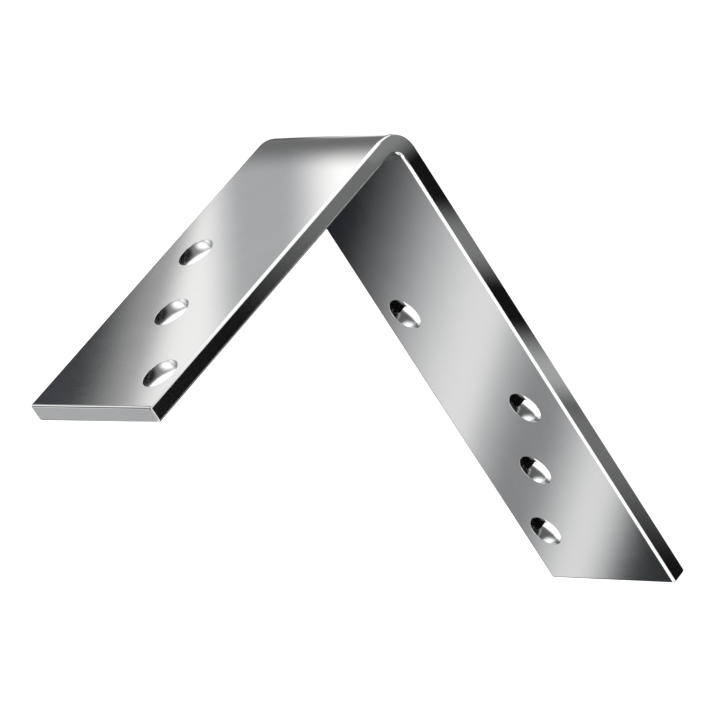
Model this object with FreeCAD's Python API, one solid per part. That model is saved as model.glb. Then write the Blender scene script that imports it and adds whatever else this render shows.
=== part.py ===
import FreeCAD
import Part
import math
import os

# Angle bracket: one flat steel bar, bent square once, with three round holes
# in its short leg and four in its long leg.
#
# The origin is the outer corner, where the two outer faces would meet without
# the bend's rounding, midway across the bar. The long leg lies along +X with
# its outer face down on z = 0, and the short leg stands along +Z with its outer
# face on x = 0. The bar's near edge is at +Y and its far edge at -Y.
# All lengths are in millimetres.

# The flat bar that the bracket is bent from
bar_width = 45.0
bar_thickness = 5.0
edge_rounding = 0.7

# The two legs, each measured along its outer face from the corner to its end
long_leg_length = 150.0
short_leg_length = 105.0
inner_bend_radius = 3.5

# Every hole is the same: straight through, with a small chamfer on both rims
hole_diameter = 9.5
hole_rim_chamfer = 0.4

# Three holes climb the long leg on a slant, from its far edge at the free end
# to its near edge, and a fourth stands alone nearer to the bend.
long_end_hole_to_free_end = 17.0
long_hole_pitch = 21.5
long_far_line_to_far_edge = 9.0
long_near_line_to_near_edge = 14.0
long_inner_hole_to_corner = 58.5

# Three holes climb the short leg the other way, from its near edge at the free
# end to its far edge, and the middle one is on the bar's centre line.
short_end_hole_to_free_end = 12.0
short_hole_pitch = 22.0
short_near_line_to_near_edge = 7.0
short_far_line_to_far_edge = 12.0

# Sizes that follow from those above
outer_bend_radius = inner_bend_radius + bar_thickness
hole_radius = hole_diameter / 2
near_edge_y = bar_width / 2
far_edge_y = -bar_width / 2

# Anything closer than this counts as being in the same place
same_place = 0.001


def side_point(x, z):
    """A point of the bracket's outline, on the bar's far edge."""
    return FreeCAD.Vector(x, far_edge_y, z)


def middle_of_bend(radius):
    """Halfway round the bend, on the circle of this radius about its centre."""
    step_from_centre = radius * math.cos(math.pi / 4)
    place = outer_bend_radius - step_from_centre
    return side_point(place, place)


def side_outline():
    """The L that the bracket shows from the side, with its bend rounded."""
    outer_top = side_point(0, short_leg_length)
    outer_bend_top = side_point(0, outer_bend_radius)
    outer_bend_foot = side_point(outer_bend_radius, 0)
    outer_end = side_point(long_leg_length, 0)
    inner_end = side_point(long_leg_length, bar_thickness)
    inner_bend_foot = side_point(outer_bend_radius, bar_thickness)
    inner_bend_top = side_point(bar_thickness, outer_bend_radius)
    inner_top = side_point(bar_thickness, short_leg_length)
    curves = [
        Part.LineSegment(outer_top, outer_bend_top),
        Part.Arc(outer_bend_top, middle_of_bend(outer_bend_radius), outer_bend_foot),
        Part.LineSegment(outer_bend_foot, outer_end),
        Part.LineSegment(outer_end, inner_end),
        Part.LineSegment(inner_end, inner_bend_foot),
        Part.Arc(inner_bend_foot, middle_of_bend(inner_bend_radius), inner_bend_top),
        Part.LineSegment(inner_bend_top, inner_top),
        Part.LineSegment(inner_top, outer_top),
    ]
    return Part.Wire([curve.toShape() for curve in curves])


def bent_bar():
    """The bar in its bent shape, still with sharp edges and no holes."""
    across = FreeCAD.Vector(0, bar_width, 0)
    return Part.Face(side_outline()).extrude(across)


def is_bend_seam(edge):
    """A smooth line across the bar where a flat leg runs into the bend."""
    centre = edge.CenterOfMass
    runs_across = abs(centre.y) < same_place
    at_long_end = abs(centre.x - long_leg_length) <= bar_thickness
    at_short_end = abs(centre.z - short_leg_length) <= bar_thickness
    return runs_across and not at_long_end and not at_short_end


def ease_edges(bar):
    """Round the bar's long edges, round the bend too, and all edges of its ends."""
    sharp_edges = [edge for edge in bar.Edges if not is_bend_seam(edge)]
    return bar.makeFillet(edge_rounding, sharp_edges)


def slanted_row(first_along, pitch_along, lines_across):
    """Places of a row of holes, one on each line, a pitch apart along the leg."""
    return [
        (first_along + number * pitch_along, across)
        for number, across in enumerate(lines_across)
    ]


def long_leg_hole_axes():
    """Centre of each hole in the long leg's outer face, and its direction."""
    far_line = far_edge_y + long_far_line_to_far_edge
    near_line = near_edge_y - long_near_line_to_near_edge
    middle_line = (far_line + near_line) / 2
    first_along = long_leg_length - long_end_hole_to_free_end
    places = slanted_row(first_along, -long_hole_pitch, [far_line, middle_line, near_line])
    places.append((long_inner_hole_to_corner, far_line))
    inwards = FreeCAD.Vector(0, 0, 1)
    return [(FreeCAD.Vector(along, across, 0), inwards) for along, across in places]


def short_leg_hole_axes():
    """Centre of each hole in the short leg's outer face, and its direction."""
    near_line = near_edge_y - short_near_line_to_near_edge
    centre_line = 0
    far_line = far_edge_y + short_far_line_to_far_edge
    first_along = short_leg_length - short_end_hole_to_free_end
    places = slanted_row(first_along, -short_hole_pitch, [near_line, centre_line, far_line])
    inwards = FreeCAD.Vector(1, 0, 0)
    return [(FreeCAD.Vector(0, across, along), inwards) for along, across in places]


def punch_holes(bar):
    """Cut every hole straight through its leg."""
    for outer_centre, inwards in long_leg_hole_axes() + short_leg_hole_axes():
        punch = Part.makeCylinder(hole_radius, bar_thickness, outer_centre, inwards)
        bar = bar.cut(punch)
    return bar


def is_hole_rim(edge):
    """A closed loop as long as a hole is round, on either face of the bar."""
    return edge.isClosed() and abs(edge.Length - math.tau * hole_radius) < same_place


def ease_hole_rims(bar):
    """Take the sharp edge off both rims of every hole with a small chamfer."""
    rims = [edge for edge in bar.Edges if is_hole_rim(edge)]
    return bar.makeChamfer(hole_rim_chamfer, rims)


def angle_bracket():
    """The finished bracket: bent, eased along its edges, and holed."""
    bar = ease_edges(bent_bar())
    bar = ease_hole_rims(punch_holes(bar))
    return bar.Solids[0]


os.makedirs("parts", exist_ok=True)
angle_bracket().exportStep("parts/angle_bracket.step")
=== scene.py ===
# %% [markdown]
# # A bent angle bracket in bright zinc
#
# This lesson dresses the packed model of one heavy angle bracket. The bracket is a
# single flat steel bar, bent square once, punched with seven round holes and zinc
# plated. The shape is remade from one flat rectangle with a few edit-mode tools, and
# then most of the work goes into the plating and into what the plating reflects.
#
# The packed model is loaded first. It fixes where the bracket is: the long leg lies
# along +X on the floor, the short leg stands up along +Z, and the bar's near edge is
# at +Y. Everything is in metres.

# %% Load the frame
import math

import bpy
from mathutils import Matrix, Vector


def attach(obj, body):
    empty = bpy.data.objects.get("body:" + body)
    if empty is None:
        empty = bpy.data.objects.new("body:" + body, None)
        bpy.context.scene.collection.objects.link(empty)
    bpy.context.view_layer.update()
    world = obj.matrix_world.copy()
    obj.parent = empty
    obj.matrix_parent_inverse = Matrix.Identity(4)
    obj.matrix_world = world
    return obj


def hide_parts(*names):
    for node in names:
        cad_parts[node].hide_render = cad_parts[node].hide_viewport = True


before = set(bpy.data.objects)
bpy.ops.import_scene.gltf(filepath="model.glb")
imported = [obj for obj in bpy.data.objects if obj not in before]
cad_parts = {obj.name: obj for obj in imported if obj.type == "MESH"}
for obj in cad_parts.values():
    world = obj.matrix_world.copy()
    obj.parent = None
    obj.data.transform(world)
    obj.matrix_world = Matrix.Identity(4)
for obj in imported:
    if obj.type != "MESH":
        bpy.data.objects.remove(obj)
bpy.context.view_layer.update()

ALONG = Vector((1, 0, 0))
ACROSS = Vector((0, 1, 0))
UP = Vector((0, 0, 1))

# %% [markdown]
# ## The camera
#
# The photograph was taken from far away with a long lens, a little above the bracket
# and from behind its corner, and it was then turned until the corner pointed up. The
# camera's three directions below are written in the bracket's own frame: to the right
# in the picture, down the picture, and away from the camera.

# %% The photograph's camera
LENS_MM = 271.3
SENSOR_MM = 36.0
PICTURE_PIXELS = 720
PICTURE_RIGHT = Vector((0.491557, 0.668734, -0.557823))
PICTURE_DOWN = Vector((0.748397, 0.003129, 0.663244))
PICTURE_AWAY = Vector((0.445279, -0.743495, -0.498941))
# The outer corner, measured along those three directions from the camera
CORNER_FROM_CAMERA = Vector((-0.00560843, -0.05861879, 1.33559855))

camera_place = -(
    PICTURE_RIGHT * CORNER_FROM_CAMERA.x
    + PICTURE_DOWN * CORNER_FROM_CAMERA.y
    + PICTURE_AWAY * CORNER_FROM_CAMERA.z
)
turn = Matrix((PICTURE_RIGHT, -PICTURE_DOWN, -PICTURE_AWAY)).transposed()
camera_data = bpy.data.cameras.new("photo_camera")
camera_data.lens = LENS_MM
camera_data.sensor_width = SENSOR_MM
camera = bpy.data.objects.new("photo_camera", camera_data)
camera.matrix_world = Matrix.Translation(camera_place) @ turn.to_4x4()
bpy.context.scene.collection.objects.link(camera)
bpy.context.scene.camera = camera
bpy.context.scene.view_settings.view_transform = "Standard"
print("camera at", tuple(round(v, 4) for v in camera_place))

# %% [markdown]
# ## The bar
#
# The real bracket starts as rolled flat bar. So does this one: a rectangle as large
# as the bar's section is drawn at the long leg's free end, and is pulled along the
# leg to where the bend begins. There it is spun a quarter turn about the bend's
# centre, and then pulled up the short leg. Sweeping one section keeps the bar the
# same thickness all the way round, which a bend deformer would not.

# %% Sizes of the bar
MM = 0.001
BAR_WIDTH = 45.0 * MM
BAR_THICKNESS = 5.0 * MM
LONG_LEG = 150.0 * MM
SHORT_LEG = 105.0 * MM
INNER_BEND_RADIUS = 3.5 * MM
OUTER_BEND_RADIUS = INNER_BEND_RADIUS + BAR_THICKNESS
BEND_STEPS = 36
SAME_PLACE = 0.001 * MM


def start_fresh():
    """Leave edit mode and let go of everything that is selected."""
    if bpy.context.mode != "OBJECT":
        bpy.ops.object.mode_set(mode="OBJECT")
    bpy.ops.object.select_all(action="DESELECT")


def keep_place_in_mesh():
    """Put the active object's place into its mesh, so that it sits at the origin."""
    bpy.ops.object.transform_apply(location=True, rotation=True, scale=True)


print("flat bar", BAR_WIDTH / MM, "x", BAR_THICKNESS / MM, "mm")

# %% Sweep the bar from end to end
start_fresh()
bpy.ops.mesh.primitive_plane_add(
    size=1,
    location=(LONG_LEG, 0, BAR_THICKNESS / 2),
    rotation=(0, math.pi / 2, 0),
)
bracket = bpy.context.object
bracket.name = "bracket"
bracket.data.name = "bracket"
bracket.scale = (BAR_THICKNESS, BAR_WIDTH, 1)
keep_place_in_mesh()

bpy.ops.object.mode_set(mode="EDIT")
bpy.ops.mesh.select_all(action="SELECT")
along_long_leg = OUTER_BEND_RADIUS - LONG_LEG
bpy.ops.mesh.extrude_region_move(TRANSFORM_OT_translate={"value": (along_long_leg, 0, 0)})
bpy.ops.mesh.spin(
    steps=BEND_STEPS,
    angle=math.pi / 2,
    center=(OUTER_BEND_RADIUS, 0, OUTER_BEND_RADIUS),
    axis=(0, -1, 0),
)
up_short_leg = SHORT_LEG - OUTER_BEND_RADIUS
bpy.ops.mesh.extrude_region_move(TRANSFORM_OT_translate={"value": (0, 0, up_short_leg)})
bpy.ops.mesh.select_all(action="SELECT")
bpy.ops.mesh.remove_doubles(threshold=SAME_PLACE)
bpy.ops.mesh.normals_make_consistent(inside=False)
bpy.ops.object.mode_set(mode="OBJECT")
print("swept bar:", len(bracket.data.polygons), "faces")

# %% [markdown]
# ## Rounded edges
#
# Rolled bar has slightly rounded long edges, and tumbling before plating takes the
# sharpness off its sheared ends too. These narrow roundings are what catches the
# light as white lines in the photograph, so they are real geometry and not a trick of
# shading. The only edges sharper than 60 degrees are the ones to round.

# %% Round every sharp edge of the bar
EDGE_ROUNDING = 0.7 * MM
SHARP = math.radians(60)


def bevel_sharp_edges(offset, segments):
    """Round all edges of the active object that are sharper than SHARP."""
    bpy.ops.object.mode_set(mode="EDIT")
    bpy.ops.mesh.select_mode(type="EDGE")
    bpy.ops.mesh.select_all(action="DESELECT")
    bpy.ops.mesh.edges_select_sharp(sharpness=SHARP)
    bpy.ops.mesh.bevel(offset=offset, segments=segments, profile=0.5, affect="EDGES")
    bpy.ops.object.mode_set(mode="OBJECT")


bevel_sharp_edges(EDGE_ROUNDING, segments=8)
print("rounded bar:", len(bracket.data.polygons), "faces")

# %% [markdown]
# ## The holes
#
# The holes of each leg climb on a slant so that two screws never split the same grain
# of the wood. The long leg has one more hole, alone and nearer to the bend. Each hole
# is written down as its centre, halfway through the bar, and the way through it.

# %% Where the holes are
HOLE_RADIUS = 4.75 * MM
NEAR_EDGE = BAR_WIDTH / 2
FAR_EDGE = -BAR_WIDTH / 2

LONG_ROW_START = LONG_LEG - 17.0 * MM
LONG_ROW_PITCH = 21.5 * MM
LONG_FAR_LINE = FAR_EDGE + 9.0 * MM
LONG_NEAR_LINE = NEAR_EDGE - 14.0 * MM
LONG_MIDDLE_LINE = (LONG_FAR_LINE + LONG_NEAR_LINE) / 2
LONG_INNER_HOLE = 58.5 * MM

SHORT_ROW_START = SHORT_LEG - 12.0 * MM
SHORT_ROW_PITCH = 22.0 * MM
SHORT_NEAR_LINE = NEAR_EDGE - 7.0 * MM
SHORT_FAR_LINE = FAR_EDGE + 12.0 * MM


def slanted_row(start, pitch, lines_across):
    """(along, across) of holes a pitch apart towards the bend, one on each line."""
    return [(start - number * pitch, across) for number, across in enumerate(lines_across)]


long_lines = [LONG_FAR_LINE, LONG_MIDDLE_LINE, LONG_NEAR_LINE]
short_lines = [SHORT_NEAR_LINE, 0.0, SHORT_FAR_LINE]
long_places = slanted_row(LONG_ROW_START, LONG_ROW_PITCH, long_lines)
long_places.append((LONG_INNER_HOLE, LONG_FAR_LINE))
short_places = slanted_row(SHORT_ROW_START, SHORT_ROW_PITCH, short_lines)
halfway = BAR_THICKNESS / 2
long_leg_holes = [(Vector((along, across, halfway)), UP) for along, across in long_places]
short_leg_holes = [(Vector((halfway, across, along)), ALONG) for along, across in short_places]
all_holes = long_leg_holes + short_leg_holes
print(len(long_leg_holes), "holes in the long leg,", len(short_leg_holes), "in the short leg")

# %% [markdown]
# A punch drives each hole straight through the flat bar. Here seven punches are set in
# place and joined, and a Boolean modifier takes them out of the bar in one go, which
# leaves every wall truly round and straight. The rims are crisp, as in the photograph,
# so they are rounded by less than a tenth of a millimetre.

# %% Punch them
PUNCH_SIDES = 96
PUNCH_LENGTH = 3 * BAR_THICKNESS
RIM_ROUNDING = 0.08 * MM

start_fresh()
punches = []
for centre, direction in all_holes:
    bpy.ops.mesh.primitive_cylinder_add(
        vertices=PUNCH_SIDES,
        radius=HOLE_RADIUS,
        depth=PUNCH_LENGTH,
        location=centre,
        rotation=direction.to_track_quat("Z", "Y").to_euler(),
    )
    punches.append(bpy.context.object)
for punch in punches:
    punch.select_set(True)
bpy.ops.object.join()
punch_set = bpy.context.object

start_fresh()
bpy.context.view_layer.objects.active = bracket
bracket.select_set(True)
cut = bracket.modifiers.new("punched_holes", "BOOLEAN")
cut.operation = "DIFFERENCE"
cut.solver = "EXACT"
cut.object = punch_set
bpy.ops.object.modifier_apply(modifier=cut.name)
bpy.data.objects.remove(punch_set)
bevel_sharp_edges(RIM_ROUNDING, segments=3)
print("punched bar:", len(bracket.data.polygons), "faces")

# %% [markdown]
# ## Smooth shading on large flat faces
#
# A mirror-like finish shows every wrong normal. Shading that is split at sharp angles
# would crease the roundings, and plain smooth shading would bow the flats. Weighted
# normals let each large flat face decide the direction at its own border, so the flats
# reflect like plate glass and only the narrow roundings turn.

# %% Smooth and weighted
bpy.ops.object.shade_smooth()
weighted = bracket.modifiers.new("weighted", "WEIGHTED_NORMAL")
weighted.mode = "FACE_AREA"
weighted.weight = 50
bpy.ops.object.modifier_apply(modifier=weighted.name)
print("smooth:", all(face.use_smooth for face in bracket.data.polygons))

# %% [markdown]
# ## Where each point lies in the bar
#
# Grain from rolling runs along the bar and follows it round the bend. A small
# attribute stores, for each vertex, its place in the bar before it was bent: how far
# along, how far across, and how deep below the outer face.

# %% Store the unbent place
NEUTRAL_RADIUS = INNER_BEND_RADIUS + BAR_THICKNESS / 2
HALF_BEND_LENGTH = NEUTRAL_RADIUS * math.pi / 4


def unbent(point):
    """(along, across, depth below the outer face) of a point of the bent bar."""
    if point.x > OUTER_BEND_RADIUS and point.z <= OUTER_BEND_RADIUS:
        return (HALF_BEND_LENGTH + point.x - OUTER_BEND_RADIUS, point.y, point.z)
    if point.z > OUTER_BEND_RADIUS:
        return (-HALF_BEND_LENGTH - point.z + OUTER_BEND_RADIUS, point.y, point.x)
    back = OUTER_BEND_RADIUS - point.x
    down = OUTER_BEND_RADIUS - point.z
    turned = math.atan2(down, back) - math.pi / 4
    depth = OUTER_BEND_RADIUS - math.hypot(back, down)
    return (turned * NEUTRAL_RADIUS, point.y, depth)


places = bracket.data.attributes.new("bar_place", "FLOAT_VECTOR", "POINT")
for vertex in bracket.data.vertices:
    places.data[vertex.index].vector = unbent(vertex.co)
print("bar place stored for", len(bracket.data.vertices), "vertices")

# %% [markdown]
# ## Where each point lies in its hole
#
# A punch leaves marks of its own: it rubs the wall bright where it enters, and tears the
# rest out. A second attribute tells how deep a point lies below the rim where the
# punch came in, which is the rim seen in the photograph: the inner face of the long
# leg and the outer face of the short leg. A third one says how far an edge is turned,
# so that only the middle of each rounding is made smoother and given a brighter colour,
# which is partly polish and partly a painted highlight.

# %% Store the place in the hole and the turn of the edges
HALF_TURN = math.sqrt(0.5)


def below_entry_rim(point):
    """Two places across the hole, and the depth below the rim of entry."""
    if point.z > OUTER_BEND_RADIUS:
        return (point.y, point.z, point.x)
    return (point.x, point.y, BAR_THICKNESS - point.z)


def edge_turn(point, normal):
    """0 where a rounding begins and ends, 1 in its middle, 0 on flats and the bend."""
    if point.x > OUTER_BEND_RADIUS or point.z > OUTER_BEND_RADIUS:
        parts = [abs(part) for part in normal]
    else:
        parts = [abs(normal.y), math.hypot(normal.x, normal.z)]
    return min(1.0, (1.0 - max(parts)) / (1.0 - HALF_TURN))


punch_places = bracket.data.attributes.new("punch_place", "FLOAT_VECTOR", "POINT")
turns = bracket.data.attributes.new("edge_turn", "FLOAT", "POINT")
for vertex in bracket.data.vertices:
    punch_places.data[vertex.index].vector = below_entry_rim(vertex.co)
    turns.data[vertex.index].value = edge_turn(vertex.co, vertex.normal)
print("attributes:", [stored.name for stored in (places, punch_places, turns)])

# %% [markdown]
# ## Tools for node trees
#
# Every material below is a tree of nodes, and most steps are alike: add a node, and
# give each of its sockets either a link or a plain value. A small class keeps that
# short. It works on any tree, so that materials and node groups can share it.

# %% Ways to add nodes


class Nodes:
    """Short ways to add nodes to a node tree."""

    def __init__(self, tree):
        self.tree = tree

    def add(self, kind, **settings):
        node = self.tree.nodes.new(kind)
        for name, choice in settings.items():
            setattr(node, name, choice)
        return node

    def fill(self, socket, value):
        """Link a node's output to a socket, or set a plain value on it."""
        if isinstance(value, bpy.types.NodeSocket):
            self.tree.links.new(value, socket)
        else:
            socket.default_value = value

    def fill_all(self, node, values):
        for name, value in values.items():
            self.fill(node.inputs[name], value)

    def math(self, operation, *values):
        node = self.add("ShaderNodeMath", operation=operation)
        for socket, value in zip(node.inputs, values):
            self.fill(socket, value)
        return node.outputs["Value"]

    def weighted_sum(self, start, *terms):
        total = start
        for value, weight in terms:
            total = self.math("MULTIPLY_ADD", value, weight, total)
        return total

    def vector_math(self, operation, *vectors, output="Vector"):
        node = self.add("ShaderNodeVectorMath", operation=operation)
        for socket, vector in zip(node.inputs, vectors):
            self.fill(socket, vector)
        return node.outputs[output]

    def scaled(self, vector, factor):
        node = self.add("ShaderNodeVectorMath", operation="SCALE")
        self.fill_all(node, {"Vector": vector, "Scale": factor})
        return node.outputs["Vector"]

    def smooth_ramp(self, value, low, high, start=0.0, end=1.0):
        """Go softly from start to end while the value goes from low to high."""
        node = self.add("ShaderNodeMapRange", interpolation_type="SMOOTHSTEP")
        span = {"From Min": low, "From Max": high, "To Min": start, "To Max": end}
        self.fill_all(node, {"Value": value, **span})
        return node.outputs["Result"]

    def noise(self, place, scale, detail):
        node = self.add("ShaderNodeTexNoise")
        self.fill_all(node, {"Vector": place, "Scale": scale, "Detail": detail})
        return node.outputs["Fac"]

    def group(self, tree, values):
        node = self.add("ShaderNodeGroup", node_tree=tree)
        self.fill_all(node, values)
        return node.outputs[0]


print("ways to add nodes:", [way for way in vars(Nodes) if not way.startswith("_")])

# %% [markdown]
# A look is a material in the making. It adds nodes as above and feeds them to its one
# shader. A node group has no shader: it is given values through named sockets, and
# makes one number out of them.

# %% Looks and node groups


class Look(Nodes):
    """A material in the making, whose shader is fed socket by socket."""

    def __init__(self, name):
        self.material = bpy.data.materials.new(name)
        self.material.use_nodes = True
        super().__init__(self.material.node_tree)
        self.shader = self.tree.nodes["Principled BSDF"]

    def feed(self, name, value):
        self.fill(self.shader.inputs[name], value)

    def attribute(self, name, output="Vector"):
        return self.add("ShaderNodeAttribute", attribute_name=name).outputs[output]

    def object_place(self):
        return self.add("ShaderNodeTexCoord").outputs["Object"]

    def part(self, vector, letter):
        node = self.add("ShaderNodeSeparateXYZ")
        self.fill(node.inputs["Vector"], vector)
        return node.outputs[letter]

    def blend(self, factor, low, high):
        """Mix two colors; each is a node's output, or red, green and blue."""
        node = self.add("ShaderNodeMix", data_type="RGBA")
        self.fill(node.inputs["Factor"], factor)
        for socket, color in ((node.inputs["A"], low), (node.inputs["B"], high)):
            linked = isinstance(color, bpy.types.NodeSocket)
            self.fill(socket, color if linked else (*color, 1))
        return node.outputs["Result"]

    def bump(self, height, distance):
        node = self.add("ShaderNodeBump")
        self.fill_all(node, {"Height": height, "Distance": distance})
        self.feed("Normal", node.outputs["Normal"])


def new_group(name, inputs, output):
    """An empty node group: its nodes, what it is given, and the socket that it makes."""
    tree = bpy.data.node_groups.new(name, "ShaderNodeTree")
    for socket, kind in inputs.items():
        tree.interface.new_socket(socket, in_out="INPUT", socket_type=f"NodeSocket{kind}")
    tree.interface.new_socket(output, in_out="OUTPUT", socket_type="NodeSocketFloat")
    nodes = Nodes(tree)
    given = nodes.add("NodeGroupInput").outputs
    made = nodes.add("NodeGroupOutput").inputs[output]
    return nodes, given, made


print("ways to build a look:", [way for way in vars(Look) if not way.startswith("_")])

# %% [markdown]
# ## Three finishes of one plating
#
# Everything is covered by the same thin zinc, but it copies the steel below it: the
# rolled faces are almost a mirror with a faint grain along the bar, the sheared ends
# have short streaks across their thickness, and the walls of the holes have a rubbed
# ring and a torn ring. They are three materials, which keeps each tree short, and one
# node group serves all three. It stretches noise by a vector, so the same few nodes
# make long grain, short streaks or round clouds.

# %% Stretched noise as a node group


def stretched_noise_group():
    """Noise of a place that is first stretched by a vector; it swings about zero."""
    inputs = {"Place": "Vector", "Per metre": "Vector", "Detail": "Float"}
    nodes, given, made = new_group("stretched_noise", inputs, "Swing")
    stretched = nodes.vector_math("MULTIPLY", given["Place"], given["Per metre"])
    noise = nodes.noise(stretched, 1.0, given["Detail"])
    nodes.fill(made, nodes.math("SUBTRACT", noise, 0.5))
    return nodes.tree


stretched_noise = stretched_noise_group()


class Finish(Look):
    """A metal look whose marks follow a place that is stored in the mesh."""

    def __init__(self, name, place_attribute):
        super().__init__(name)
        self.feed("Metallic", 1.0)
        self.place = self.attribute(place_attribute)

    def marks(self, per_metre, detail):
        values = {"Place": self.place, "Per metre": per_metre, "Detail": detail}
        return self.group(stretched_noise, values)


print("node group", stretched_noise.name, "has", len(stretched_noise.nodes), "nodes")

# %% [markdown]
# ### Rolled faces
#
# Bright zinc on smooth rolled steel. The grain is a fifth of a millimetre wide and
# about a centimetre long; clouds of two sizes stand for the bath's uneven deposit,
# and specks for its crystals. The lines of the grain are less than a micrometre high,
# just enough to spread a reflection slightly across the bar. Tumbling has polished the
# rounded edges, so the mask of the turned edges makes them smoother; their near-white
# colour is partly that polish and partly a painted highlight that whitens their lines.

# %% Bright zinc on the rolled faces
MICROMETRE = 0.000001
DULL_FACE = (0.722, 0.730, 0.738)
BRIGHT_FACE = (0.762, 0.770, 0.777)
RUBBED_EDGE_AND_PAINTED_HIGHLIGHT = (0.95, 0.952, 0.955)
RUBBING_AND_HIGHLIGHT_BEGINS = 0.03
RUBBING_AND_HIGHLIGHT_IS_FULL = 0.16

zinc = Finish("bright_zinc", "bar_place")
grain = zinc.marks((110, 5200, 5200), detail=3)
clouds = zinc.marks((75, 120, 120), detail=2)
small_clouds = zinc.marks((380, 520, 520), detail=3)
specks = zinc.marks((3800, 3800, 3800), detail=1)
turn_of_edge = zinc.attribute("edge_turn", "Fac")
tone = zinc.weighted_sum(0.5, (clouds, 0.9), (small_clouds, 0.7), (grain, 1.0), (specks, 0.2))
face_color = zinc.blend(tone, DULL_FACE, BRIGHT_FACE)
rubbed_and_painted_highlight = zinc.smooth_ramp(turn_of_edge, RUBBING_AND_HIGHLIGHT_BEGINS, RUBBING_AND_HIGHLIGHT_IS_FULL)
# The turned edges' near-white colour is partly polish, partly a painted highlight.
zinc.feed("Base Color", zinc.blend(rubbed_and_painted_highlight, face_color, RUBBED_EDGE_AND_PAINTED_HIGHLIGHT))
roughness = zinc.weighted_sum(
    0.10, (clouds, 0.03), (small_clouds, 0.015), (grain, 0.02), (turn_of_edge, -0.015)
)
zinc.feed("Roughness", roughness)
zinc.bump(grain, 0.5 * MICROMETRE)
print(zinc.material.name, "has", len(zinc.tree.nodes), "nodes")

# %% [markdown]
# ### Sheared ends
#
# The shear pushes through the bar from one face, so its streaks run through the
# thickness. They are wider and deeper than the rolling grain.

# %% Zinc on the sheared ends
DULL_END = (0.68, 0.692, 0.706)
BRIGHT_END = (0.75, 0.76, 0.77)

end_zinc = Finish("zinc_on_sheared_end", "bar_place")
streaks = end_zinc.marks((2600, 2600, 160), detail=3)
clouds = end_zinc.marks((160, 160, 160), detail=2)
tone = end_zinc.weighted_sum(0.5, (streaks, 1.0), (clouds, 0.8))
end_zinc.feed("Base Color", end_zinc.blend(tone, DULL_END, BRIGHT_END))
end_zinc.feed("Roughness", end_zinc.weighted_sum(0.17, (streaks, 0.08), (clouds, 0.04)))
end_zinc.bump(streaks, 2.0 * MICROMETRE)
print(end_zinc.material.name, "has", len(end_zinc.tree.nodes), "nodes")

# %% [markdown]
# ### Walls of the holes
#
# The first three fifths of the wall, below the rim where the punch came in, are rubbed
# smooth and show fine lines along the punch's way; their darker colour is painted shade.
# Below an uneven border the steel was torn off, so the zinc is matt there, and its pale
# colour is a painted highlight low in each hole.

# %% Zinc on the punched walls
RUBBED_WALL_AND_PAINTED_SHADE = (0.55, 0.556, 0.562)
TORN_WALL_AND_PAINTED_HIGHLIGHT = (0.95, 0.955, 0.96)
TEAR_AND_HIGHLIGHT_BEGINS = 3.05 * MM
TEAR_AND_HIGHLIGHT_IS_FULL = 3.2 * MM

wall_zinc = Finish("zinc_on_punched_wall", "punch_place")
lines = wall_zinc.marks((3000, 3000, 90), detail=2)
crumbs = wall_zinc.marks((2600, 2600, 2600), detail=3)
waves = wall_zinc.marks((200, 200, 0), detail=1)
depth = wall_zinc.part(wall_zinc.place, "Z")
uneven_depth = wall_zinc.weighted_sum(depth, (waves, 0.2 * MM), (crumbs, 0.05 * MM))
torn_and_painted_highlight = wall_zinc.smooth_ramp(uneven_depth, TEAR_AND_HIGHLIGHT_BEGINS, TEAR_AND_HIGHLIGHT_IS_FULL)
tone = wall_zinc.weighted_sum(torn_and_painted_highlight, (lines, 0.3), (crumbs, 0.3))
# The rubbed ring's darker colour is painted shade, and the torn ring's near-white colour a
# painted highlight.
wall_zinc.feed("Base Color", wall_zinc.blend(tone, RUBBED_WALL_AND_PAINTED_SHADE, TORN_WALL_AND_PAINTED_HIGHLIGHT))
roughness = wall_zinc.weighted_sum(0.16, (torn_and_painted_highlight, 0.12), (lines, 0.08), (crumbs, 0.08))
wall_zinc.feed("Roughness", roughness)
wall_zinc.bump(wall_zinc.weighted_sum(0.0, (lines, 0.7), (crumbs, 0.6)), 3.0 * MICROMETRE)
print(wall_zinc.material.name, "has", len(wall_zinc.tree.nodes), "nodes")

# %% [markdown]
# ### Give each face its finish
#
# The faces are found by their place and normal: a wall face lies on the circle of a
# hole and looks at its axis, and an end face looks along its leg at the very end.

# %% Faces of the walls and of the ends
FACE_SLOT = 0
END_SLOT = 1
WALL_SLOT = 2
NEARLY = 0.01 * MM
SIDEWAYS = 0.1
STRAIGHT = 0.9
for finish in (zinc, end_zinc, wall_zinc):
    bracket.data.materials.append(finish.material)


def is_wall(face):
    """On a hole's circle, and turned towards its axis."""
    for centre, direction in all_holes:
        off_axis = face.center - centre
        off_axis = off_axis - direction * off_axis.dot(direction)
        turned_in = abs(face.normal.dot(direction)) < SIDEWAYS
        if turned_in and off_axis.length < HOLE_RADIUS + NEARLY:
            return True
    return False


def is_end(face):
    """On the free end of either leg, and looking along that leg."""
    at_long_end = face.center.x > LONG_LEG - NEARLY and face.normal.x > STRAIGHT
    at_short_end = face.center.z > SHORT_LEG - NEARLY and face.normal.z > STRAIGHT
    return at_long_end or at_short_end


counted = {FACE_SLOT: 0, END_SLOT: 0, WALL_SLOT: 0}
for face in bracket.data.polygons:
    face.material_index = WALL_SLOT if is_wall(face) else END_SLOT if is_end(face) else FACE_SLOT
    counted[face.material_index] += 1
print(counted[END_SLOT], "end faces and", counted[WALL_SLOT], "wall faces")

# %% [markdown]
# ### Hand the bracket over
#
# The finished piece stands in for the packed solid. It has no joint, so it rides on
# the root.

# %% Hang the bracket on the frame
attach(bracket, "root")
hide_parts("angle_bracket")
print(bracket.name, "rides on the root")

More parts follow.
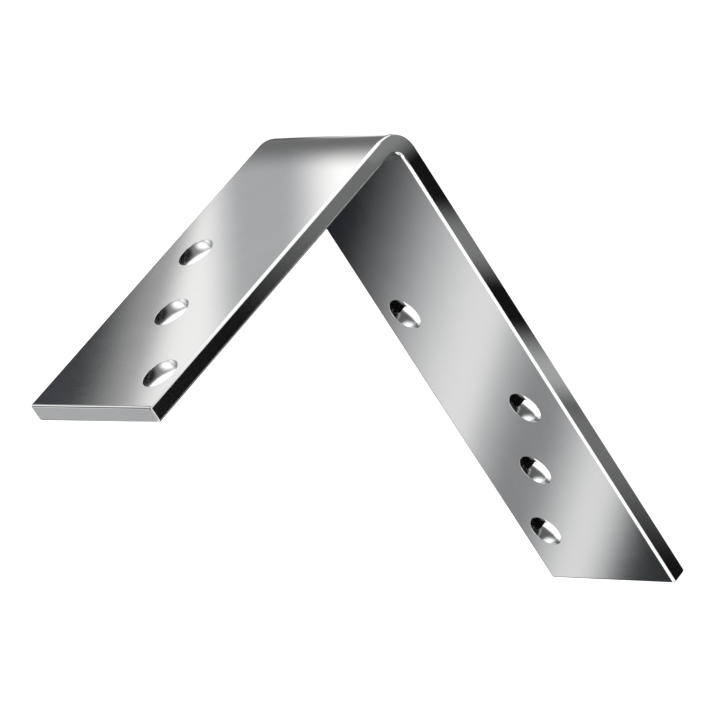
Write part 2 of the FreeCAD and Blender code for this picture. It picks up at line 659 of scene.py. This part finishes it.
# %% [markdown]
# ## The studio
#
# The bracket lies on a lit white table, so the picture has a white ground and almost
# no shadow. The table gives the light itself, because lamps above it would show in the
# metal as hot spots. What the metal mirrors of it is brightest round the bracket and
# gets darker farther off. The room beyond it is white.

# %% The lit table
TABLE_SIZE = 8
TABLE_LIGHT = 0.9
TABLE_GREY = (0.4, 0.4, 0.4, 1)
WHITE = (1, 1, 1, 1)
MIRRORED_NEAR = 1.05
MIRRORED_FAR = 0.25
NEAR_ENDS = 0.10
FAR_BEGINS = 0.36

start_fresh()
bpy.ops.mesh.primitive_plane_add(size=TABLE_SIZE)
table = bpy.context.object
table.name = "lit_table"
table_look = Look("lit_table")
table_look.feed("Base Color", TABLE_GREY)
table_look.feed("Roughness", 0.9)
table_look.feed("Specular IOR Level", 0.0)
table_look.feed("Emission Color", WHITE)
table_look.feed("Emission Strength", TABLE_LIGHT)
from_middle = table_look.vector_math("LENGTH", table_look.object_place(), output="Value")
falling = table_look.smooth_ramp(from_middle, NEAR_ENDS, FAR_BEGINS, MIRRORED_NEAR, MIRRORED_FAR)
mirrored_light = table_look.add("ShaderNodeEmission")
table_look.fill(mirrored_light.inputs["Strength"], falling)
ray = table_look.add("ShaderNodeLightPath")
either = table_look.add("ShaderNodeMixShader")
table_look.fill(either.inputs["Fac"], ray.outputs["Is Glossy Ray"])
table_look.fill(either.inputs[1], table_look.shader.outputs["BSDF"])
table_look.fill(either.inputs[2], mirrored_light.outputs["Emission"])
surface = table_look.tree.nodes["Material Output"].inputs["Surface"]
table_look.fill(surface, either.outputs["Shader"])
table.data.materials.append(table_look.material)
print(table.name, "is", TABLE_SIZE, "m wide")

# %% The room
world = bpy.data.worlds.new("white_room")
bpy.context.scene.world = world
world.use_nodes = True
background = world.node_tree.nodes["Background"]
background.inputs["Color"].default_value = WHITE
background.inputs["Strength"].default_value = 1.0
print("world", world.name)

# %% [markdown]
# ### Soft stripes
#
# Metal shows only what it reflects: the light and dark bands on the bracket's legs are
# cards with soft stripes. Area lamps could draw them too, but they would also light the
# table, and their borders are hard. One stripe of light rises softly, stays, and falls
# softly again. As a node group it can be added as often as a card needs it.

# %% The stripe as a node group
STRIPE_PARTS = ("Rise", "Full", "Fade", "Gone", "Light")


def soft_stripe_group():
    """Light of a stripe that rises and falls between four places, added to Below."""
    inputs = {name: "Float" for name in ("Across", *STRIPE_PARTS, "Below")}
    nodes, given, made = new_group("soft_stripe", inputs, "Light")
    risen = nodes.smooth_ramp(given["Across"], given["Rise"], given["Full"])
    faded = nodes.smooth_ramp(given["Across"], given["Fade"], given["Gone"])
    inside = nodes.math("SUBTRACT", risen, faded)
    nodes.fill(made, nodes.math("MULTIPLY_ADD", inside, given["Light"], given["Below"]))
    return nodes.tree


soft_stripe = soft_stripe_group()


def add_stripes(look, across, stripes, ground=0.0):
    """Light of stripes (rise, full, fade, gone, light), laid over an even ground."""
    light = ground
    for stripe in stripes:
        values = {"Across": across, **dict(zip(STRIPE_PARTS, stripe)), "Below": light}
        light = look.group(soft_stripe, values)
    return light


print("node group", soft_stripe.name, "has", len(soft_stripe.nodes), "nodes")

# %% [markdown]
# ### Looks of the cards
#
# A card is black and glows. A striped card has one even ground with stripes on it. Its
# bright parts are slightly warm, as lamps are, and its dark parts slightly cool; haze
# makes them cooler still, by a little red taken away and as much blue added. A veil is
# one even light that is only as solid as its stripes are bright.

# %% Black, plain, striped and veiled
SHADE_TINT = (0.99, 1.0, 1.0)
LIGHT_TINT = (1.02, 1.0, 0.975)
# The warm tint grows with this power of the light, so that only bright parts have it
WARM_POWER = 4.0
# In place of rise and full, or of fade and gone, where a stripe runs off its card
BEFORE_CARD = (-1, -0.9)
AFTER_CARD = (1, 2)


def black_look(name, glow=0.0):
    """Black that mirrors nothing, and may glow."""
    look = Look(name)
    look.feed("Base Color", (0, 0, 0, 1))
    look.feed("Specular IOR Level", 0.0)
    look.feed("Emission Strength", glow)
    return look


def plain_look(name, light):
    """The same light all over the card."""
    look = black_look(name, glow=light)
    look.feed("Emission Color", (*SHADE_TINT, 1))
    return look.material


def striped_look(name, axis, ground, stripes, haze=0.0):
    """Stripes of light as places along an axis, on an even ground."""
    look = black_look(name, glow=1.0)
    across = look.vector_math("DOT_PRODUCT", look.object_place(), axis, output="Value")
    light = add_stripes(look, across, stripes, ground)
    tint = look.blend(look.math("POWER", light, WARM_POWER), SHADE_TINT, LIGHT_TINT)
    tinted = look.scaled(tint, light)
    look.feed("Emission Color", look.vector_math("ADD", tinted, (-haze, 0, haze)))
    return look.material


def veil_look(name, axis, stripes, light, haze=0.0):
    """One even light that is only as solid as its stripes are bright."""
    look = black_look(name, glow=1.0)
    across = look.vector_math("DOT_PRODUCT", look.object_place(), axis, output="Value")
    look.feed("Alpha", add_stripes(look, across, stripes))
    look.feed("Emission Color", (light - haze, light, light + haze, 1))
    return look.material


print("dark parts are tinted", SHADE_TINT, "and bright parts", LIGHT_TINT)

# %% [markdown]
# ### Cards that only reflections see
#
# A card is a thin rectangle that the camera doesn't see and that throws no shadow. It
# is laid by its centre, the way that it faces and the way that its long side runs.

# %% Ways to lay a card


def hide_from_camera(card, look):
    """Leave a card to reflections alone."""
    card.data.materials.append(look)
    card.visible_camera = False
    card.visible_diffuse = False
    card.visible_transmission = False
    card.visible_shadow = False


def lay_card(name, look, centre, facing, long_side, size):
    """A flat card, length by width, with its long side along long_side."""
    start_fresh()
    bpy.ops.mesh.primitive_plane_add(size=1)
    card = bpy.context.object
    card.name = name
    up = Vector(facing).normalized()
    side = Vector(long_side)
    side = (side - up * side.dot(up)).normalized()
    other = up.cross(side)
    turn = Matrix((side, other, up)).transposed().to_4x4()
    card.matrix_world = Matrix.Translation(centre) @ turn @ Matrix.Diagonal((*size, 1, 1))
    keep_place_in_mesh()
    hide_from_camera(card, look)
    print(f"{name}: {size[0] / MM:.1f} x {size[1] / MM:.1f} mm")


def lay_on_table(name, look, centre, long_side, size):
    """A card that faces up; its centre includes a height of its own above the table."""
    lay_card(name, look, centre, UP, long_side, size)


print("cards can be laid on the table, stood up or hung")

# %% [markdown]
# ### A light tent
#
# Shiny things are photographed in a tent of white cloth, because in an open white room
# they would look like paper. The tent is half a ball that stands on the table.

# %% Pitch the tent
TENT_RADIUS = 0.5
TENT_HEM = 0.2 * MM

start_fresh()
bpy.ops.mesh.primitive_uv_sphere_add(segments=48, ring_count=24, radius=TENT_RADIUS)
tent = bpy.context.object
tent.name = "light_tent"
bpy.ops.object.mode_set(mode="EDIT")
bpy.ops.mesh.select_all(action="SELECT")
bpy.ops.mesh.bisect(plane_co=(0, 0, TENT_HEM), plane_no=UP, clear_inner=True)
bpy.ops.object.mode_set(mode="OBJECT")
bpy.ops.object.shade_smooth()
print("tent of", len(tent.data.polygons), "cloth faces")

# %% [markdown]
# The cloth is never even: it has brighter and darker patches, and it is close enough
# that they slide over the metal as one walks round it. The side towards the window is
# the brightest. The window is a band no wider than the bracket's narrow edges need to
# turn white, so that its flat faces stay grey.

# %% The cloth and its window
PATCHES_PER_METRE = 3.2
PATCH_NOISE = (0.36, 0.64)
PATCH_LIGHT = (0.10, 1.1)
TOWARD_WINDOW = (0.445, 0.745, 0.495)
WINDOW_LIGHT = 1.15
WINDOW_IS_FULL = 0.3 * TENT_RADIUS
WINDOW_BAND = (0.17, 0.21, 0.39, 0.43, 1.0)

cloth = black_look("tent_cloth", glow=1.0)
place = cloth.object_place()
patches = cloth.noise(place, PATCHES_PER_METRE, 1.0)
patch_light = cloth.smooth_ramp(patches, *PATCH_NOISE, *PATCH_LIGHT)
toward_window = cloth.vector_math("DOT_PRODUCT", place, TOWARD_WINDOW, output="Value")
window_side = cloth.smooth_ramp(toward_window, 0.0, WINDOW_IS_FULL, end=WINDOW_LIGHT)
band = add_stripes(cloth, cloth.part(place, "X"), [WINDOW_BAND])
window = cloth.math("MULTIPLY", window_side, band)
cloth.feed("Emission Color", cloth.math("MAXIMUM", patch_light, window))
hide_from_camera(tent, cloth.material)
print(cloth.material.name, "has", len(cloth.tree.nodes), "nodes")

# %% [markdown]
# ### Where a card shows in a mirror
#
# A flat face is a mirror, and a card seen in it looks like a card behind it. So a
# stripe can be planned in the picture, in pixels to the right of its middle, and
# carried over to its card by mirroring the camera's directions in that face.

# %% Plan stripes in the picture
FOCAL_PIXELS = LENS_MM / SENSOR_MM * PICTURE_PIXELS


def mirrored(direction, normal):
    """A direction as a flat mirror with that normal turns it."""
    return direction - normal * (2 * direction.dot(normal))


def seen_in(face_point, face_normal, lean=0.0):
    """Axis and start of a plan that runs to the right in the picture, in a mirror.

    A lean of 0.3 tilts the stripes: 10 pixels further down they are 3 further left.
    """
    across = PICTURE_RIGHT + PICTURE_DOWN * lean
    axis = mirrored(across, face_normal)
    start = CORNER_FROM_CAMERA.x + CORNER_FROM_CAMERA.y * lean
    start += 2 * face_point.dot(face_normal) * across.dot(face_normal)
    return axis, start


def planned(stripes, start, distance):
    """Stripes planned in pixels, as places on a card that far from the camera."""
    metres = distance / FOCAL_PIXELS
    return [
        (*[place * metres - start for place in stripe[:4]], stripe[4]) for stripe in stripes
    ]


print("one pixel is", round(CORNER_FROM_CAMERA.z / FOCAL_PIXELS / MM, 3), "mm at the corner")

# %% [markdown]
# ### Cards for the short leg's outer face
#
# This face mirrors the table beyond the corner, so its card lies on the table. A border
# of the card runs from the leg's foot along a line that leaves the table white for the
# rounding of the near edge. A veil just above the card darkens the leg towards its free
# end; its border is slanted and fades in two steps.

# %% Lay the table card and its veil
CORNER = Vector((0, 0, 0))
BORDER_START = Vector((0, 0.0235, 0.0003))
BORDER_LINE = Vector((-0.6225, -0.7826, 0))
TABLE_CARD_SIZE = (0.300, 0.110)
TABLE_CARD_DISTANCE = 1.44
TABLE_VEIL_DISTANCE = 1.46
TABLE_HAZE = 0.005

length, width = TABLE_CARD_SIZE
centre = BORDER_START + BORDER_LINE * length / 2 + UP.cross(BORDER_LINE) * width / 2
axis, start = seen_in(CORNER, ALONG)
plan = [(-420, -400, -160, -112, 0.62), (-330, -320, 10, 35, 0.47), (-75, -12, 12, 40, 0.82)]
stripes = planned(plan, start, TABLE_CARD_DISTANCE)
look = striped_look("table_card", axis, 0.03, stripes, haze=TABLE_HAZE)
lay_on_table("table_card", look, centre, BORDER_LINE, TABLE_CARD_SIZE)

axis, start = seen_in(CORNER, ALONG, lean=0.36)
plan = [(-600, -590, -281, -224, 0.32), (-600, -590, -225, -193, 0.68)]
stripes = planned(plan, start, TABLE_VEIL_DISTANCE)
look = veil_look("table_veil", axis, stripes, light=0.045, haze=TABLE_HAZE)
lay_on_table("table_veil", look, centre + UP * 0.0001, BORDER_LINE, TABLE_CARD_SIZE)

# %% [markdown]
# ### Cards for the bend
#
# The bend is a round mirror that gathers the table at its foot into a narrow band. A
# card there draws the ridge, dark at the far edge and bright towards the near one, and
# a veil beside it shades the band below the ridge.

# %% Lay the cards at the bend's foot
look = striped_look("corner_card", ACROSS, 0.12, [(-0.020, 0.020, 0.050, 0.060, 1.3)])
lay_on_table("corner_card", look, (0.004, -0.019, 0.0005), ACROSS, (0.083, 0.008))
stripes = [(-0.0150, -0.0060, -0.0005, 0.0020, 1.0)]
look = veil_look("corner_veil", ALONG, stripes, light=0.19)
lay_on_table("corner_veil", look, (-0.004, -0.034, 0.0007), ACROSS, (0.113, 0.030))

# %% [markdown]
# ### Cards for the bar's near side
#
# Low down the bar's near side mirrors the table close in front of it, along the long
# leg and round the bend. Higher up the short leg it mirrors the table farther out, so a
# narrow strip stands in the way there, square across the mirrored line of sight.

# %% Lay and stand the near cards
NEARLY_BLACK = 0.006
NEAR_REACH = 0.025
near_away = mirrored(PICTURE_AWAY, ACROSS)
near_level = Vector((near_away.x, near_away.y, 0)).normalized()

stripes = [
    (0.024, 0.036, 0.042, 0.055, 0.23),
    (0.064, 0.081, 0.083, 0.095, 0.46),
    (0.082, 0.100, 0.106, 0.150, 0.19),
]
look = striped_look("near_low_card", ALONG, NEARLY_BLACK, stripes)
lay_on_table("near_low_card", look, (0.088, 0.0290, 0.0003), ALONG, (0.150, 0.0130))

stripes = [(*BEFORE_CARD, -0.0070, 0.0015, 0.26)]
look = striped_look("near_bend_card", (1, -0.45, 0), NEARLY_BLACK, stripes)
lay_on_table("near_bend_card", look, (0.0065, 0.0290, 0.0004), ALONG, (0.013, 0.013))
lay_on_table("near_slope_card", look, (0.01535, 0.04395, 0.0005), near_level, (0.042, 0.009))

look = striped_look("near_high_card", UP, NEARLY_BLACK, [(-0.100, -0.090, 0.015, 0.060, 0.19)])
centre = Vector((BAR_THICKNESS / 2, NEAR_EDGE, 0.067)) + near_away * NEAR_REACH
lay_card("near_high_card", look, centre, -near_level, UP, (0.112, 0.0105))

# %% [markdown]
# ### Cards for the long leg's inner face and the short leg's end
#
# Both look up, so they mirror the sky beyond the far edge, and their cards hang there.
# The long leg's card lies along the leg's own mirror image. It reaches farther past the
# leg's far edge than past its near edge, whose rounding has to see the window.

# %% Hang the sky cards
SKY_REACH = 0.25
SKY_DISTANCE = 1.6165
SKY_CARD_SIZE = (0.27, 0.152)
# The leg's image runs down to the right, and the card is moved a little along and past it
IMAGE_RIGHT = 0.55
IMAGE_DOWN = 0.835
PAST_FAR_EDGE = 0.0166
ALONG_LEG = 0.005
END_REACH = 0.12

sky_right = mirrored(PICTURE_RIGHT, UP)
sky_down = mirrored(PICTURE_DOWN, UP)
sky_away = mirrored(PICTURE_AWAY, UP)
leg_in_mirror = sky_right * IMAGE_RIGHT + sky_down * IMAGE_DOWN
far_in_mirror = sky_right * -IMAGE_DOWN + sky_down * IMAGE_RIGHT

long_leg_middle = Vector((LONG_LEG / 2, 0, BAR_THICKNESS))
axis, start = seen_in(long_leg_middle, UP, lean=0.3)
plan = [
    (-400, -390, -62, 0, -0.018),
    (-50, -20, 118, 180, 0.07),
    (-32, 112, 118, 180, 0.85),
    (140, 170, 292, 350, 0.26),
    (205, 275, 280, 332, 0.62),
]
look = striped_look("sky_card", axis, 0.030, planned(plan, start, SKY_DISTANCE), haze=0.003)
centre = long_leg_middle + sky_away * SKY_REACH
centre += far_in_mirror * PAST_FAR_EDGE + leg_in_mirror * ALONG_LEG
lay_card("sky_card", look, centre, -sky_away, leg_in_mirror, SKY_CARD_SIZE)

short_end = Vector((BAR_THICKNESS / 2, 0, SHORT_LEG))
look = plain_look("end_card", 0.52)
centre = short_end + sky_away * END_REACH
lay_card("end_card", look, centre, -sky_away, sky_right, (0.09, 0.06))

# %% [markdown]
# ### Cards for the thin edges
#
# The roundings along the far edge and the free end of the long leg would mirror the
# white table and vanish against it. A low standing card and two on the table, which are
# dark along the free half of the leg, draw them as thin lines. Two narrow dark cards
# inside the angle do the same for the inner rounding of the short leg's near side and
# for the inside of the bend.

# %% Lay and stand the edge cards
look = striped_look("far_card", UP, 0.03, [(0.03, 0.045, *AFTER_CARD, 0.3)])
lay_card("far_card", look, (0.150, -0.100, 0.021), ACROSS, ALONG, (0.30, 0.042))
look = striped_look("far_floor_card", ALONG, 0.9, [(0.055, 0.090, *AFTER_CARD, -0.85)])
lay_on_table("far_floor_card", look, (0.190, -0.0620, 0.0003), ALONG, (0.26, 0.077))
look = plain_look("end_floor_card", 0.05)
lay_on_table("end_floor_card", look, (0.236, -0.0005, 0.0003), ALONG, (0.17, 0.046))

look = plain_look("inside_card", 0.10)
lay_card("inside_card", look, (0.0068, 0.0222, 0.0555), -ALONG, UP, (0.099, 0.0046))
lay_card("inside_bend_card", look, (0.009, 0.0173, 0.00635), -ALONG, UP, (0.0023, 0.0066))

# %% [markdown]
# ### The far mouths of the holes
#
# Seen on the slant, the bar is thick enough to hide almost everything behind a hole,
# but the wall mirrors its far mouth. A small round card closes each mouth. Its own Y
# points away from the camera: light on that side reaches the deep, torn ring, and the
# rest of the card lights the two sides of the rubbed ring above it.

# %% The look of a mouth
SPOT_LIGHT = 2.2
SPOT_FADE = (0.9, 1.1)


def mouth_look(name, side_stripes, spot_place, spot_size):
    """Stripes across the hole, and a bright spot for what lies deep in it."""
    look = black_look(name, glow=1.0)
    place = look.object_place()
    sides = add_stripes(look, look.part(place, "X"), side_stripes)
    from_spot = look.vector_math("SUBTRACT", place, (*spot_place, 0))
    in_spot_sizes = look.vector_math("DIVIDE", from_spot, (*spot_size, 1))
    reach = look.vector_math("LENGTH", in_spot_sizes, output="Value")
    spot = add_stripes(look, reach, [(*BEFORE_CARD, *SPOT_FADE, SPOT_LIGHT)])
    look.feed("Emission Color", look.math("MAXIMUM", spot, sides))
    return look.material


stripes = [
    (*BEFORE_CARD, -0.0046, -0.0030, 2.5),
    (*BEFORE_CARD, -0.0040, -0.0006, 1.8),
    (*BEFORE_CARD, -0.0004, 0.0030, 0.40),
]
short_mouth = mouth_look("short_leg_mouth", stripes, (0, 0.00265), (0.0011, 0.0018))
stripes = [
    (*BEFORE_CARD, -0.0046, -0.0036, 2.5),
    (*BEFORE_CARD, -0.0036, -0.0014, 1.8),
    (*BEFORE_CARD, 0.0006, 0.0010, 0.18),
    (0.0009, 0.0012, 0.0015, 0.0018, 0.8),
]
long_mouth = mouth_look("long_leg_mouth", stripes, (0.0007, 0.0036), (0.0018, 0.0014))
print("looks", short_mouth.name, "and", long_mouth.name)

# %% Close each mouth
MOUTH_RADIUS = HOLE_RADIUS * 0.99
MOUTH_SIDES = 48
ABOVE_OUTSIDE = 0.1 * MM
to_mouth = BAR_THICKNESS / 2 - ABOVE_OUTSIDE


def across_hole(direction):
    """The side of a hole and the way across it, away from the camera."""
    away = (PICTURE_AWAY - direction * PICTURE_AWAY.dot(direction)).normalized()
    return direction.cross(away), away


def mouth_card(name, centre, direction, look):
    """A small round card with its own Y away from the camera."""
    side, away = across_hole(direction)
    start_fresh()
    bpy.ops.mesh.primitive_circle_add(vertices=MOUTH_SIDES, radius=MOUTH_RADIUS, fill_type="NGON")
    card = bpy.context.object
    card.name = name
    turn = Matrix((side, away, -direction)).transposed().to_4x4()
    card.matrix_world = Matrix.Translation(centre) @ turn
    hide_from_camera(card, look)


for number, (centre, direction) in enumerate(long_leg_holes):
    mouth_card(f"mouth_card_{number}", centre - direction * to_mouth, direction, long_mouth)
for number, (centre, direction) in enumerate(short_leg_holes, start=len(long_leg_holes)):
    mouth_card(f"mouth_card_{number}", centre + direction * to_mouth, direction, short_mouth)
print(len(all_holes), "mouths closed")

# %% [markdown]
# ### A flag in each hole of the long leg
#
# A photographer keeps light off a place with a black card, which is called a flag. In
# the photograph the left part of each hole in the long leg is black, so a tiny flag
# stands in the hole between that part of the wall and the bright spot. Its back is
# clear, so that the right part of the wall still sees past it.

# %% Stand the flags
FLAG_TO_THE_SIDE = -1.2 * MM
FLAG_AWAY = (2.2 * MM, 4.6 * MM)
FLAG_HEIGHT = (0.1 * MM, 3.0 * MM)


def clear_backed_black(name):
    """Black in front and clear behind."""
    look = black_look(name)
    behind = look.add("ShaderNodeNewGeometry").outputs["Backfacing"]
    look.feed("Alpha", look.math("SUBTRACT", 1.0, behind))
    return look.material


flag_black = clear_backed_black("flag_black")
flag_size = (FLAG_HEIGHT[1] - FLAG_HEIGHT[0], FLAG_AWAY[1] - FLAG_AWAY[0])
for number, (centre, direction) in enumerate(long_leg_holes):
    side, away = across_hole(direction)
    place = centre + side * FLAG_TO_THE_SIDE + away * sum(FLAG_AWAY) / 2
    place.z = sum(FLAG_HEIGHT) / 2
    lay_card(f"flag_{number}", flag_black, place, -side, direction, flag_size)

# %% [markdown]
# ## Finish
#
